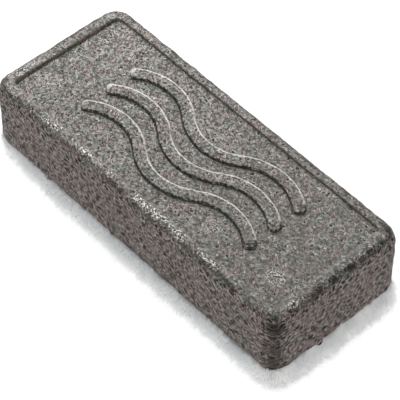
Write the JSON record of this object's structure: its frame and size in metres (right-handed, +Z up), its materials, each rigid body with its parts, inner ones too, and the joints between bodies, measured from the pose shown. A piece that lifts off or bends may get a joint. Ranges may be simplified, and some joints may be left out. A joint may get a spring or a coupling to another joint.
{
  "type": "board eraser",
  "caption": "Block-shaped classroom board eraser: a moulded felt block with a rimmed, recessed top panel and raised wave ridges, standing on a soft white pile pad.",
  "frame": {"origin": "centre of the pile's flat working face, on the surface that the eraser stands on", "axes": "+X along the eraser's length, +Y across its width, +Z up from the pile through the block to the top panel"},
  "size_m": [0.133, 0.056, 0.0318],
  "materials": {
    "moulded_felt": "matte",
    "hot_melt_glue": "satin",
    "knitted_backing": "matte",
    "pile_fibre": "matte"
  },
  "bodies": {
    "root": {"handle_block": "moulded_felt", "glue_film": "hot_melt_glue", "backing_cloth": "knitted_backing", "pile": "pile_fibre"}
  },
  "joints": []
}
